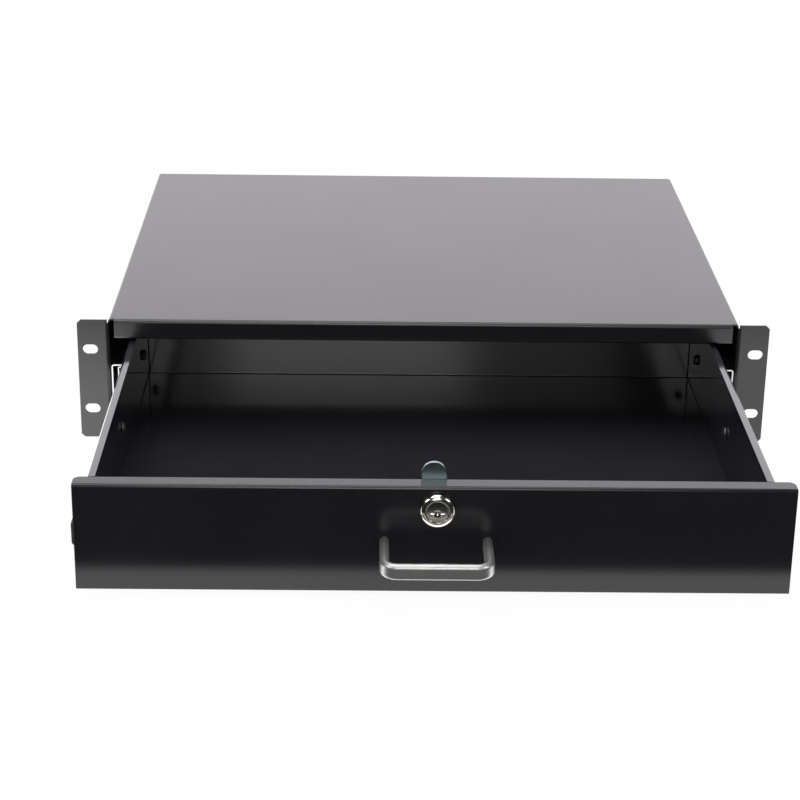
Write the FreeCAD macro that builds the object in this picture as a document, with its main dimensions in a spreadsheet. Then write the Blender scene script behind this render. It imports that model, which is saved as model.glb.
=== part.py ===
# Two-unit lockable drawer for a 19-inch rack, modelled pulled out, as folded sheet-metal parts on ball slides.
# Origin: centre of the four rack slots, on the front plane of the ears.
# X runs to the right seen from the front, Y from the front to the back, Z upwards. Millimetres.
import FreeCAD
import Part
import Sketcher
import math
import os
import re

SIZES = [
    ("ear_reach", 21.3, "rack ear, out from the case's side"),
    ("rack_height", 88.0, "height of ears and case, two rack units less the usual clearance"),
    ("slot_inset", 8.75, "rack slots' centres from the ears' ends"),
    ("slot_pitch_z", 44.45, "between the lower and upper rack slots"),
    ("slot_length", 10.5, "rack slot, end to end"),
    ("slot_width", 7.0, "rack slot, across"),
    ("ear_corner", 2.5, "bevel of the ears' outer corners"),
    ("plate", 1.2, "sheet steel of case, tray and panel"),
    ("fold", 1.3, "inner radius of the case's folds"),
    ("ear_fold", 1.8, "inner radius of the fold between side and ear"),
    ("case_width", 440.0, "over the case's sides"),
    ("case_depth", 368.0, "from the ears' front plane to the back"),
    ("lip_height", 14.3, "front lip, down from the top"),
    ("lip_return", 10.5, "depth of the lip's lower return, which the cam catches"),
    ("lip_relief", 3.2, "between the lip's end and the side"),
    ("joint_flange", 12.0, "flanges that pan and rear panel are riveted by"),
    ("pan_lead", 1.6, "front edge of the pan behind the ears' front plane"),
    ("pan_setback", 16.0, "where the pan's flanges start"),
    ("seam", 0.5, "open seam between folded edges"),
    ("travel", 240.0, "how far the drawer is pulled out"),
    ("panel_side_gap", 3.3, "between the closed panel's ends and the case's sides, on average"),
    ("lip_gap", 1.9, "between the closed panel's top and the lip"),
    ("panel_lift", 2.9, "panel's lower edge above the case's underside"),
    ("panel_shift", 2.0, "panel's centre to the right of the case's centre"),
    ("panel_flange", 11.7, "depth of the panel's top return"),
    ("panel_fold", 0.8, "inner radius of the panel's fold"),
    ("panel_corner", 4.5, "radius of the return's rear corners"),
    ("tray_rear_gap", 9.2, "between the closed tray and the rear panel"),
    ("tray_lift", 2.8, "tray's underside above the case's underside"),
    ("tray_flange", 5.2, "width of the tray's in-turned top flanges"),
    ("tray_fold", 0.8, "inner radius of the tray's folds"),
    ("tab_width", 14.0, "tray's corner tabs"),
    ("front_tab_drop", 8.0, "top of the front tabs below the tray's top"),
    ("corner_relief", 1.5, "notch beside a folded corner"),
    ("slide_gap", 12.7, "between case side and tray, filled by the slide"),
    ("slide_height", 42.0, "outer slide member"),
    ("slide_rear_gap", 15.0, "outer slide member's back end from the case's back"),
    ("buffer_length", 3.7, "closing buffer, front to back"),
    ("slide_rise", 32.8, "slide's centre line above the case's underside"),
    ("slide_setback", 3.0, "outer member's front end behind the ears' front plane"),
    ("inner_lead", 9.0, "inner member's front end behind the panel's face"),
    ("slide_steel", 1.1, "strip that the slide members are rolled from"),
    ("slide_fold", 0.8, "inner radius of the members' corners"),
    ("ball_diameter", 4.0, "slide ball"),
    ("race_play", 0.15, "between ball and race"),
    ("race_inset", 7.9, "ball centres from the case's side"),
    ("outer_wrap", 25.0, "degrees that the outer race reaches below the ball's centre"),
    ("inner_wrap", 30.0, "degrees that the inner race turns up beside the ball's foot"),
    ("cage_steel", 0.8, "strip of the cage"),
    ("cage_fold", 0.4, "inner radius of the cage's corners"),
    ("cage_inset", 4.1, "cage's web from the case's side"),
    ("cage_reach", 1.5, "cage's flange past the ball centres"),
    ("cage_lead", 3.0, "cage's ends inside the overlap of the two members, drawer pulled out"),
    ("buffer_height", 12.0, "closing buffer"),
    ("buffer_reach", 8.5, "closing buffer from the outer member's web"),
    ("bumper_rise", 28.0, "bumper's lower edge above the case's underside"),
    ("bumper_height", 15.0, "bumper"),
    ("bumper_inset", 2.8, "bumper's outer face from the case's side"),
    ("bumper_length", 7.0, "bumper, front to back"),
    ("bumper_lead", 1.5, "bumper in front of the inner member's end"),
    ("bumper_corner", 2.5, "radius of the bumper's lower outer corner"),
    ("lock_drop", 30.6, "lock's axis below the case's top"),
    ("lock_shift", 1.3, "lock's axis to the right of the panel's centre"),
    ("bezel_lap", 1.1, "lock's rim past the barrel, all round"),
    ("bezel_rim", 2.0, "straight part of the rim, off the panel"),
    ("bezel_rise", 4.5, "lock's face off the panel"),
    ("bezel_slope", 2.4, "lock's face inside its rim, all round"),
    ("barrel_diameter", 19.0, "threaded barrel"),
    ("barrel_flat", 1.3, "depth of the barrel's two flats"),
    ("lock_nut_wall", 1.5, "barrel's nut round the barrel, across flats"),
    ("lock_nut_height", 3.0, "barrel's nut"),
    ("plug_diameter", 13.6, "turning plug"),
    ("plug_play", 0.05, "plug in its bore"),
    ("plug_sink", 0.4, "plug's face below the lock's face"),
    ("key_length", 8.4, "keyway"),
    ("key_width", 2.0, "keyway"),
    ("key_depth", 6.0, "keyway"),
    ("key_dish", 9.4, "diameter of the dish round the keyway"),
    ("key_dish_depth", 0.8, "dish round the keyway"),
    ("spindle", 7.0, "across the square that carries the cam"),
    ("stub_diameter", 5.0, "threaded stub behind the cam"),
    ("cam_gap", 0.3, "between barrel and cam"),
    ("cam_steel", 2.0, "cam plate"),
    ("cam_width", 15.2, "cam tongue"),
    ("cam_reach", 25.6, "cam's tip from the lock's axis"),
    ("cam_lean", 6.5, "degrees that the raised cam leans to the left"),
    ("cam_nut_wall", 1.5, "cam's nut round its stub, across flats"),
    ("cam_nut_height", 3.0, "cam's nut"),
    ("handle_width", 67.6, "bow handle, over the legs"),
    ("handle_rise", 34.5, "handle's centre above the case's underside"),
    ("handle_shift", 0.8, "handle's centre to the right of the panel's centre"),
    ("handle_stand", 39.6, "handle's front off the panel"),
    ("handle_bend", 10.5, "outer radius of the handle's corners"),
    ("bar_depth", 5.6, "handle's bar, front to back"),
    ("bar_height", 10.0, "handle's bar, bottom to top"),
    ("screw_diameter", 4.0, "slide screws and panel studs"),
    ("screw_head", 8.0, "slide screw's head"),
    ("head_height", 2.4, "slide screw's head"),
    ("screw_length", 4.0, "slide screw under the head"),
    ("screw_inset", 32.0, "first and last slide screws from the member's ends"),
    ("handle_screw", 3.0, "handle screw"),
    ("handle_screw_head", 6.0, "handle screw's head"),
    ("handle_head_height", 1.8, "handle screw's head"),
    ("handle_screw_length", 9.0, "handle screw under the head"),
    ("hole_play", 0.15, "round a fastener, and between other pieces that lie close"),
    ("stud_length", 8.0, "panel stud"),
    ("nut_flats", 7.0, "panel nut, across flats"),
    ("nut_height", 3.2, "panel nut"),
    ("stud_inset", 14.0, "lower stud above the tray's underside"),
    ("stud_pitch", 36.0, "between the studs of one corner"),
    ("rivet_diameter", 3.2, "blind rivet"),
    ("rivet_head", 6.4, "blind rivet's dome"),
    ("rivet_dome", 1.0, "height of the dome"),
    ("rivet_tail", 1.2, "rivet stands out behind the joint"),
    ("rivet_inset", 60.0, "first and last pan rivets from front and back"),
    ("rivet_pitch_z", 50.0, "between the rear panel's rivets"),
]
BALLS_PER_ROW = 4
SIDES = {"left": -1, "right": 1}

doc = FreeCAD.newDocument("RackDrawer")
sheet = doc.addObject("Spreadsheet::Sheet", "Sizes")
for row, (alias, size, meaning) in enumerate(SIZES, start=1):
    sheet.set(f"A{row}", meaning)
    sheet.set(f"B{row}", str(size))
    sheet.setAlias(f"B{row}", alias)
doc.recompute()

ALIAS = re.compile(r"\b(" + "|".join(alias for alias, _, _ in SIZES) + r")\b")
nodes = []


def cells(text):
    """An expression on the sheet's cells, from one written with the plain aliases."""
    return ALIAS.sub(r"Sizes.\1", text)


def number(text):
    return float(sheet.evalExpression(cells(text)))


def bind(item, prop, text):
    item.setExpression(prop, cells(text))


def place(item, x, y, z):
    """Puts an object at a point given by three expressions."""
    for axis, text in zip("xyz", (x, y, z)):
        bind(item, f"Placement.Base.{axis}", text)


def new_body(name, x="0", y="0", z="0", is_node=True):
    body = doc.addObject("PartDesign::Body", name)
    body.Label = name
    place(body, x, y, z)
    if is_node:
        nodes.append(body)
    return body


def origin_feature(body, role):
    return next(item for item in body.Origin.OriginFeatures if item.Role == role)


def trace(sketch, points, closed=True):
    """Draws an outline whose corners are bound to the sheet.

    A point is (x, y), or (x, y, bend) where an arc leads on to the next point: bend is the arc's
    radius, positive where it turns left, or "half" for a half circle that turns left.
    """
    spots = [FreeCAD.Vector(number(point[0]), number(point[1]), 0) for point in points]
    count = len(points) if closed else len(points) - 1
    first = sketch.GeometryCount
    ends = []
    for step in range(count):
        here, there = spots[step], spots[(step + 1) % len(points)]
        if len(points[step]) == 2:
            sketch.addGeometry(Part.LineSegment(here, there))
            ends.append((1, 2))
            continue
        half = (there - here) * 0.5
        bend = half.Length if points[step][2] == "half" else number(points[step][2])
        left = FreeCAD.Vector(-half.y, half.x, 0).normalize()
        rise = math.sqrt(max(bend * bend - half.Length**2, 0))
        centre = here + half + left * math.copysign(rise, bend)
        start, stop = (here, there) if bend > 0 else (there, here)
        angles = [math.atan2(spot.y - centre.y, spot.x - centre.x) for spot in (start, stop)]
        circle = Part.Circle(centre, FreeCAD.Vector(0, 0, 1), abs(bend))
        sketch.addGeometry(Part.ArcOfCircle(circle, *angles))
        ends.append((1, 2) if bend > 0 else (2, 1))
    for step in range(count):
        if step or closed:
            before = (step - 1) % count
            sketch.addConstraint(Sketcher.Constraint(
                "Coincident", first + before, ends[before][1], first + step, ends[step][0]))
        pin(sketch, first + step, ends[step][0], points[step])
        if len(points[step]) == 3:
            shape_arc(sketch, first + step, points[step], spots[step], spots[(step + 1) % len(points)])
    if not closed:
        pin(sketch, first + count - 1, ends[-1][1], points[-1])


def dimension(sketch, kind, place_of, text):
    """One dimension of a sketch, bound to an expression."""
    index = sketch.addConstraint(Sketcher.Constraint(kind, *place_of, number(text)))
    name = f"{kind}{index}"
    sketch.renameConstraint(index, name)
    bind(sketch, f"Constraints.{name}", text)


def pin(sketch, edge, end, point):
    dimension(sketch, "DistanceX", (edge, end), point[0])
    dimension(sketch, "DistanceY", (edge, end), point[1])


def shape_arc(sketch, edge, point, here, there):
    """Fixes an arc between two pinned ends: by its radius, or by its centre where it is a half circle."""
    if point[2] != "half":
        radius = point[2] if number(point[2]) > 0 else f"-({point[2]})"
        dimension(sketch, "Radius", (edge,), radius)
    elif abs(there.x - here.x) < abs(there.y - here.y):
        dimension(sketch, "DistanceX", (edge, 3), point[0])
    else:
        dimension(sketch, "DistanceY", (edge, 3), point[1])


def ring(sketch, x, y, radius):
    spot = FreeCAD.Vector(number(x), number(y), 0)
    edge = sketch.addGeometry(Part.Circle(spot, FreeCAD.Vector(0, 0, 1), number(radius)))
    pin(sketch, edge, 3, (x, y))
    dimension(sketch, "Radius", (edge,), radius)


def new_sketch(body, plane, level, outlines=(), circles=(), closed=True):
    """A sketch on one of the body's own origin planes, shifted to a level along the third axis."""
    sketch = body.newObject("Sketcher::SketchObject", f"{body.Name}_sketch")
    sketch.AttachmentSupport = [(origin_feature(body, f"{plane}_Plane"), "")]
    sketch.MapMode = "FlatFace"
    bind(sketch, "AttachmentOffset.Base.z", f"-({level})" if plane == "XZ" else level)
    for outline in outlines:
        trace(sketch, outline, closed)
    for circle in circles:
        ring(sketch, *circle)
    doc.recompute()
    return sketch


def pad(body, plane, level, length, outlines=(), circles=()):
    """Adds material from a level towards the third axis's positive end."""
    profile = new_sketch(body, plane, level, outlines, circles)
    feature = body.newObject("PartDesign::Pad", f"{body.Name}_pad")
    feature.Profile = profile
    bind(feature, "Length", length)
    feature.Reversed = plane == "XZ"
    doc.recompute()
    return feature


def cut(body, plane, level, length, outlines=(), circles=()):
    """Removes material from a level towards the third axis's positive end."""
    before = body.Shape.Volume
    profile = new_sketch(body, plane, level, outlines, circles)
    feature = body.newObject("PartDesign::Pocket", f"{body.Name}_pocket")
    feature.Profile = profile
    bind(feature, "Length", length)
    feature.Reversed = plane != "XZ"
    doc.recompute()
    if body.Shape.Volume >= before:
        raise RuntimeError(f"a pocket of {body.Label} cuts nothing")
    return feature


def revolve(body, outline):
    """Turns an outline of (y, radius) points about the body's Y axis."""
    profile = new_sketch(body, "YZ", "0", [outline])
    feature = body.newObject("PartDesign::Revolution", f"{body.Name}_turned")
    feature.Profile = profile
    feature.ReferenceAxis = (origin_feature(body, "Y_Axis"), [""])
    feature.Angle = 360
    doc.recompute()
    return feature


def soften(body, kind, size, near):
    """Fillets or chamfers the straight edges whose middle and direction pass the test near."""
    base = body.Tip
    names = []
    for index, edge in enumerate(base.Shape.Edges, start=1):
        if edge.Curve.TypeId != "Part::GeomLine":
            continue
        first, last = edge.valueAt(edge.FirstParameter), edge.valueAt(edge.LastParameter)
        if near((first + last) * 0.5, last - first):
            names.append(f"Edge{index}")
    feature = body.newObject(f"PartDesign::{kind}", f"{body.Name}_{kind.lower()}")
    feature.Base = (base, names)
    bind(feature, "Radius" if kind == "Fillet" else "Size", size)
    doc.recompute()
    return feature


def rectangle(x0, y0, x1, y1):
    return [(x0, y0), (x1, y0), (x1, y1), (x0, y1)]


def mirrored(outline):
    """The outline on the other side of the centre plane, where every bend turns the other way."""
    return [(f"-({point[0]})", point[1], *[f"-({bend})" for bend in point[2:]]) for point in outline]


def facets(radius, x="0", y="0", sides=8):
    """A regular outline with level flats that lie a radius from its centre."""
    angles = [math.pi * (2 * step + 1) / sides + math.pi / 2 for step in range(sides)]
    reach = 1 / math.cos(math.pi / sides)
    return [(f"{x} + {reach * math.cos(a):.6f} * ({radius})", f"{y} + {reach * math.sin(a):.6f} * ({radius})")
            for a in angles]


def group(name, pattern, spots, turn=0.0):
    """One node of like fasteners: copies of a pattern piece, turned about Z, at points (x, y, z)."""
    copies = []
    for x, y, z, *own_turn in spots:
        copy = doc.addObject("App::Link", f"{name}_copy")
        copy.LinkedObject = pattern
        angle = own_turn[0] if own_turn else turn
        copy.Placement = FreeCAD.Placement(FreeCAD.Vector(), FreeCAD.Rotation(FreeCAD.Vector(0, 0, 1), angle))
        place(copy, x, y, z)
        copies.append(copy)
    made = doc.addObject("Part::Compound", name)
    made.Label = name
    made.Links = copies
    doc.recompute()
    nodes.append(made)
    return made


# Lines that several pieces share, as expressions on the sheet.
UNDER = "(-rack_height / 2)"
TOP = "(rack_height / 2)"
HALF = "(case_width / 2)"
INNER = f"({HALF} - plate)"
SPAN = f"({HALF} + ear_reach)"
BEND = "(fold + plate)"
EAR_BEND = "(ear_fold + plate)"
REAR = "case_depth"
FACE = "(-travel)"
PANEL_BACK = f"({FACE} + plate)"
PANEL_TOP = "(rack_height / 2 - lip_height - lip_gap)"
TRAY_HALF = f"({INNER} - slide_gap)"
TRAY_UNDER = f"({UNDER} + tray_lift)"
TRAY_BEND = "(tray_fold + plate)"
REAR_WALL = f"({REAR} - 3 * plate - tray_rear_gap - travel)"
SLIDE_Z = f"({UNDER} + slide_rise)"
SLIDE_LENGTH = f"({REAR} - slide_rear_gap - slide_setback)"
SLIDE_END = f"({REAR} - slide_rear_gap)"
INNER_FRONT = f"({FACE} + inner_lead)"
INNER_LENGTH = f"({SLIDE_END} - buffer_length - 2 * hole_play - inner_lead)"
CAGE_FRONT = "(slide_setback + cage_lead)"
CAGE_LENGTH = f"({INNER_FRONT} + {INNER_LENGTH} - cage_lead - {CAGE_FRONT})"
HOLE = "(screw_diameter / 2 + hole_play)"
RIVET_HOLE = "(rivet_diameter / 2 + hole_play)"
CASE_SCREWS = ["slide_setback + screw_inset", f"slide_setback + {SLIDE_LENGTH} / 2", f"{SLIDE_END} - screw_inset"]
TRAY_SCREWS = [f"{INNER_FRONT} + screw_inset", f"{INNER_FRONT} + {INNER_LENGTH} / 2",
               f"{INNER_FRONT} + {INNER_LENGTH} - screw_inset"]
PAN_RIVETS = ["rivet_inset", f"{REAR} / 2", f"{REAR} - rivet_inset"]
PAN_RIVET_Z = f"({UNDER} + plate + joint_flange / 2)"
REAR_RIVET_Y = f"({REAR} - plate - joint_flange / 2)"
REAR_RIVETS_Z = ["rivet_pitch_z / 2", "-rivet_pitch_z / 2"]


# Case: top, sides, ears and front lip are one folded sheet.
def make_case_shell():
    body = new_body("case_shell")
    shoulder = f"({TOP} - {BEND})"
    crown = f"({HALF} - {BEND})"
    pad(body, "XZ", EAR_BEND, f"{REAR} - {EAR_BEND}", [[
        (f"-{HALF}", UNDER), (f"-{INNER}", UNDER), (f"-{INNER}", shoulder, "-fold"),
        (f"-{crown}", f"{TOP} - plate"), (crown, f"{TOP} - plate", "-fold"),
        (INNER, shoulder), (INNER, UNDER), (HALF, UNDER), (HALF, shoulder, BEND),
        (crown, TOP), (f"-{crown}", TOP, BEND), (f"-{HALF}", shoulder),
    ]])
    ear_root = f"({INNER} + {EAR_BEND})"
    ear = [
        (ear_root, "0"), (SPAN, "0"), (SPAN, "plate"), (ear_root, "plate", "-ear_fold"),
        (HALF, EAR_BEND), (INNER, EAR_BEND, EAR_BEND),
    ]
    pad(body, "XY", UNDER, "rack_height", [ear, mirrored(ear)])
    notch = rectangle(f"{INNER} - plate", shoulder, f"{HALF} + seam", f"{TOP} + plate")
    cut(body, "XZ", "0", EAR_BEND, [notch, mirrored(notch)])
    lip_foot = f"({TOP} - lip_height)"
    lip_half = f"({INNER} - lip_relief)"
    pad(body, "YZ", f"-{lip_half}", f"2 * {lip_half}", [[
        (BEND, lip_foot), ("lip_return", lip_foot), ("lip_return", f"{lip_foot} + plate"),
        (BEND, f"{lip_foot} + plate", "-fold"), ("plate", f"{lip_foot} + {BEND}"),
        ("plate", shoulder, "-fold"), (BEND, f"{TOP} - plate"), (EAR_BEND, f"{TOP} - plate"),
        (EAR_BEND, TOP), (BEND, TOP, BEND), ("0", shoulder), ("0", f"{lip_foot} + {BEND}", BEND),
    ]])
    end = number(SPAN) - 0.01
    soften(body, "Chamfer", "ear_corner",
           lambda spot, along: abs(along.y) > 0.5 and abs(spot.x) > end and abs(spot.z) > number(TOP) - 0.01)
    slots = []
    for across in (-1, 1):
        for up in (-1, 1):
            x = f"{across} * ({SPAN} - slot_inset)"
            z = f"{up} * slot_pitch_z / 2"
            run = "(slot_length - slot_width) / 2"
            slots.append([
                (f"{x} - {run}", f"{z} - slot_width / 2"), (f"{x} + {run}", f"{z} - slot_width / 2", "half"),
                (f"{x} + {run}", f"{z} + slot_width / 2"), (f"{x} - {run}", f"{z} + slot_width / 2", "half"),
            ])
    cut(body, "XZ", "-plate", "3 * plate", slots)
    holes = [facets(RIVET_HOLE, y, PAN_RIVET_Z) for y in PAN_RIVETS]
    holes += [facets(RIVET_HOLE, REAR_RIVET_Y, z) for z in REAR_RIVETS_Z]
    holes += [facets(HOLE, y, SLIDE_Z) for y in CASE_SCREWS]
    cut(body, "YZ", f"-{HALF} - plate", f"2 * ({HALF} + plate)", holes)


def make_bottom_pan():
    body = new_body("bottom_pan")
    heel = f"({INNER} - {BEND})"
    rim = f"({UNDER} + joint_flange)"
    length = f"{REAR} - plate - joint_flange - seam - pan_setback"
    pad(body, "XZ", "pan_setback", length, [[
        (f"-{INNER}", f"{UNDER} + {BEND}", BEND), (f"-{heel}", UNDER), (heel, UNDER, BEND),
        (INNER, f"{UNDER} + {BEND}"), (INNER, rim), (f"{INNER} - plate", rim),
        (f"{INNER} - plate", f"{UNDER} + {BEND}", "-fold"), (heel, f"{UNDER} + plate"),
        (f"-{heel}", f"{UNDER} + plate", "-fold"), (f"-{INNER} + plate", f"{UNDER} + {BEND}"),
        (f"-{INNER} + plate", rim), (f"-{INNER}", rim),
    ]])
    floor = rectangle(f"-{heel}", "pan_lead", heel, f"{REAR} - plate")
    pad(body, "XY", UNDER, "plate", [floor])
    cut(body, "YZ", f"-{INNER} - plate", f"2 * ({INNER} + plate)",
        [facets(RIVET_HOLE, y, PAN_RIVET_Z) for y in PAN_RIVETS])


def make_rear_panel():
    body = new_body("rear_panel")
    heel = f"({INNER} - {BEND})"
    foot = f"({UNDER} + joint_flange + seam)"
    ceiling = f"({TOP} - plate)"
    front = f"({REAR} - joint_flange)"
    pad(body, "XY", foot, f"{ceiling} - {BEND} - {foot}", [[
        (f"-{INNER}", front), (f"-{INNER} + plate", front), (f"-{INNER} + plate", f"{REAR} - {BEND}", "-fold"),
        (f"-{heel}", f"{REAR} - plate"), (heel, f"{REAR} - plate", "-fold"),
        (f"{INNER} - plate", f"{REAR} - {BEND}"), (f"{INNER} - plate", front), (INNER, front),
        (INNER, f"{REAR} - {BEND}", BEND), (heel, REAR), (f"-{heel}", REAR, BEND),
        (f"-{INNER}", f"{REAR} - {BEND}"),
    ]])
    pad(body, "XZ", f"{REAR} - plate", "plate", [rectangle(f"-{heel}", UNDER, heel, f"{foot} + plate")])
    crown = f"({heel} - corner_relief)"
    start = f"({ceiling} - 2 * {BEND})"
    pad(body, "YZ", f"-{crown}", f"2 * {crown}", [[
        (f"{REAR} - plate", start), (REAR, start), (REAR, f"{ceiling} - {BEND}", BEND),
        (f"{REAR} - {BEND}", ceiling), (front, ceiling), (front, f"{ceiling} - plate"),
        (f"{REAR} - {BEND}", f"{ceiling} - plate", "-fold"), (f"{REAR} - plate", f"{ceiling} - {BEND}"),
    ]])
    cut(body, "YZ", f"-{INNER} - plate", f"2 * ({INNER} + plate)",
        [facets(RIVET_HOLE, REAR_RIVET_Y, z) for z in REAR_RIVETS_Z])


# Fasteners: one pattern piece per kind, head towards -Y, copied into groups. Shanks and their holes
# have eight sides and heads sixteen, because there are so many of them.
def make_fastener_pattern(name, diameter, head, head_height, length):
    body = new_body(name, is_node=False)
    pad(body, "XZ", f"-({head_height})", head_height, [facets(f"({head}) / 2", sides=16)])
    rim = 0.01 - number(head_height)
    soften(body, "Chamfer", f"({head_height}) / 2", lambda spot, along: spot.y < rim)
    pad(body, "XZ", "0", length, [facets(f"({diameter}) / 2")])
    return body


def make_rivets():
    rivet = make_fastener_pattern("rivet_pattern", "rivet_diameter", "rivet_head", "rivet_dome",
                                  "(2 * plate + rivet_tail)")
    spots = []
    for side, turn in ((-1, -90), (1, 90)):
        spots += [(f"{side} * {HALF}", y, PAN_RIVET_Z, turn) for y in PAN_RIVETS]
        spots += [(f"{side} * {HALF}", REAR_RIVET_Y, z, turn) for z in REAR_RIVETS_Z]
    group("case_rivets", rivet, spots)


def make_slide_screws():
    screw = make_fastener_pattern("slide_screw_pattern", "screw_diameter", "screw_head", "head_height", "screw_length")
    case_spots = []
    tray_spots = []
    for side, outward in ((-1, 90), (1, -90)):
        case_spots += [(f"{side} * ({INNER} - slide_steel)", y, SLIDE_Z, outward) for y in CASE_SCREWS]
        tray_spots += [(f"{side} * ({TRAY_HALF} - plate)", y, SLIDE_Z, outward) for y in TRAY_SCREWS]
    group("case_slide_screws", screw, case_spots)
    group("tray_slide_screws", screw, tray_spots)


# Ball slides: rolled outer and inner members, with a caged row of balls above and below.
RACE = "(ball_diameter / 2 + race_play)"
RACE_BACK = f"({RACE} + slide_steel)"
BALL_RISE = f"(slide_height / 2 - slide_steel - {RACE})"
CORNER = "(slide_fold + slide_steel)"


def section(side, points):
    """Turns (inset from the case's side, rise from the slide's centre) into a section of one side's slide."""
    made = []
    for inset, rise, *bend in points:
        bends = [f"-({value})" for value in bend] if side > 0 else bend
        made.append((f"{side} * ({INNER} - ({inset}))", f"{SLIDE_Z} + ({rise})", *bends))
    return made


def make_outer_member(name, side):
    body = new_body(f"slide_outer_{name}")
    tall = "(slide_height / 2)"
    dx, dz = "cos(outer_wrap)", "sin(outer_wrap)"
    pad(body, "XZ", "slide_setback", SLIDE_LENGTH, [section(side, [
        (CORNER, f"-{tall}"), ("race_inset", f"-{tall}", RACE_BACK),
        (f"race_inset + {RACE_BACK} * {dx}", f"-{BALL_RISE} + {RACE_BACK} * {dz}"),
        (f"race_inset + {RACE} * {dx}", f"-{BALL_RISE} + {RACE} * {dz}", f"-{RACE}"),
        ("race_inset", f"-{tall} + slide_steel"), (CORNER, f"-{tall} + slide_steel", "-slide_fold"),
        ("slide_steel", f"-{tall} + {CORNER}"), ("slide_steel", f"{tall} - {CORNER}", "-slide_fold"),
        (CORNER, f"{tall} - slide_steel"), ("race_inset", f"{tall} - slide_steel", f"-{RACE}"),
        (f"race_inset + {RACE} * {dx}", f"{BALL_RISE} - {RACE} * {dz}"),
        (f"race_inset + {RACE_BACK} * {dx}", f"{BALL_RISE} - {RACE_BACK} * {dz}", RACE_BACK),
        ("race_inset", tall), (CORNER, tall, CORNER), ("0", f"{tall} - {CORNER}"),
        ("0", f"-{tall} + {CORNER}", CORNER),
    ])])
    low, high = (f"-{HALF}", f"-{INNER} + slide_steel + plate") if side < 0 else (f"{INNER} - slide_steel - plate", HALF)
    cut(body, "YZ", low, f"({high}) - ({low})", [facets(HOLE, y, SLIDE_Z) for y in CASE_SCREWS])


def make_inner_member(name, side):
    body = new_body(f"slide_inner_{name}")
    floor = f"({BALL_RISE} - {RACE})"
    back = f"({BALL_RISE} - {RACE_BACK})"
    dx, dz = "sin(inner_wrap)", "cos(inner_wrap)"
    pad(body, "XZ", INNER_FRONT, INNER_LENGTH, [section(side, [
        ("slide_gap", f"-{floor} + {CORNER}"), ("slide_gap", f"{floor} - {CORNER}", CORNER),
        (f"slide_gap - {CORNER}", floor), ("race_inset", floor, f"-{RACE}"),
        (f"race_inset - {RACE} * {dx}", f"{BALL_RISE} - {RACE} * {dz}"),
        (f"race_inset - {RACE_BACK} * {dx}", f"{BALL_RISE} - {RACE_BACK} * {dz}", RACE_BACK),
        ("race_inset", back), (f"slide_gap - {CORNER}", back, "-slide_fold"),
        ("slide_gap - slide_steel", f"{floor} - {CORNER}"),
        ("slide_gap - slide_steel", f"-{floor} + {CORNER}", "-slide_fold"),
        (f"slide_gap - {CORNER}", f"-{back}"), ("race_inset", f"-{back}", RACE_BACK),
        (f"race_inset - {RACE_BACK} * {dx}", f"-{BALL_RISE} + {RACE_BACK} * {dz}"),
        (f"race_inset - {RACE} * {dx}", f"-{BALL_RISE} + {RACE} * {dz}", f"-{RACE}"),
        ("race_inset", f"-{floor}"), (f"slide_gap - {CORNER}", f"-{floor}", CORNER),
    ])])
    low, high = (f"-{TRAY_HALF} - 2 * slide_steel", f"-{TRAY_HALF}") if side < 0 else (TRAY_HALF, f"{TRAY_HALF} + 2 * slide_steel")
    cut(body, "YZ", low, f"({high}) - ({low})", [facets(HOLE, y, SLIDE_Z) for y in TRAY_SCREWS])


def ball_spots(side):
    pitch = f"{CAGE_LENGTH} / {BALLS_PER_ROW}"
    return [(f"{side} * ({INNER} - race_inset)", f"{CAGE_FRONT} + {pitch} * {place_in_row + 0.5}")
            for place_in_row in range(BALLS_PER_ROW)]


def make_cage(name, side):
    body = new_body(f"ball_cage_{name}")
    tall = f"({BALL_RISE} + cage_steel / 2)"
    reach = "race_inset + cage_reach"
    round_out = "(cage_fold + cage_steel)"
    pad(body, "XZ", CAGE_FRONT, CAGE_LENGTH, [section(side, [
        (f"cage_inset + {round_out}", f"-{tall}"), (reach, f"-{tall}"), (reach, f"-{tall} + cage_steel"),
        (f"cage_inset + {round_out}", f"-{tall} + cage_steel", "-cage_fold"),
        ("cage_inset + cage_steel", f"-{tall} + {round_out}"),
        ("cage_inset + cage_steel", f"{tall} - {round_out}", "-cage_fold"),
        (f"cage_inset + {round_out}", f"{tall} - cage_steel"), (reach, f"{tall} - cage_steel"), (reach, tall),
        (f"cage_inset + {round_out}", tall, round_out), ("cage_inset", f"{tall} - {round_out}"),
        ("cage_inset", f"-{tall} + {round_out}", round_out),
    ])])
    cut(body, "XY", f"{SLIDE_Z} - slide_height / 2", "slide_height", [facets(RACE, x, y) for x, y in ball_spots(side)])


def make_balls():
    """Each ball is cut from a cube whose edges are bevelled back until its corners lie on the ball's sphere."""
    ball = new_body("ball_pattern", is_node=False)
    half = "(ball_diameter / 2 * sqrt(2 / 3))"
    pad(ball, "XZ", f"-{half}", f"2 * {half}", [rectangle(f"-{half}", f"-{half}", half, half)])
    soften(ball, "Chamfer", f"(2 - sqrt(2)) * {half}", lambda spot, along: True)
    for name, side in SIDES.items():
        spots = [(x, y, f"{SLIDE_Z} + {up} * {BALL_RISE}") for up in (-1, 1) for x, y in ball_spots(side)]
        group(f"slide_balls_{name}", ball, spots)


def make_bumper(name, side):
    """Plastic stop pushed onto the inner member's front end."""
    body = new_body(f"slide_bumper_{name}")
    foot = "bumper_rise - slide_rise"
    root = "slide_gap - slide_steel"
    pad(body, "XZ", f"{INNER_FRONT} - bumper_lead", "bumper_length", [section(side, [
        ("bumper_inset + bumper_corner", foot), (root, foot), (root, f"{foot} + bumper_height"),
        ("bumper_inset", f"{foot} + bumper_height"), ("bumper_inset", f"{foot} + bumper_corner", "bumper_corner"),
    ])])


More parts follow.
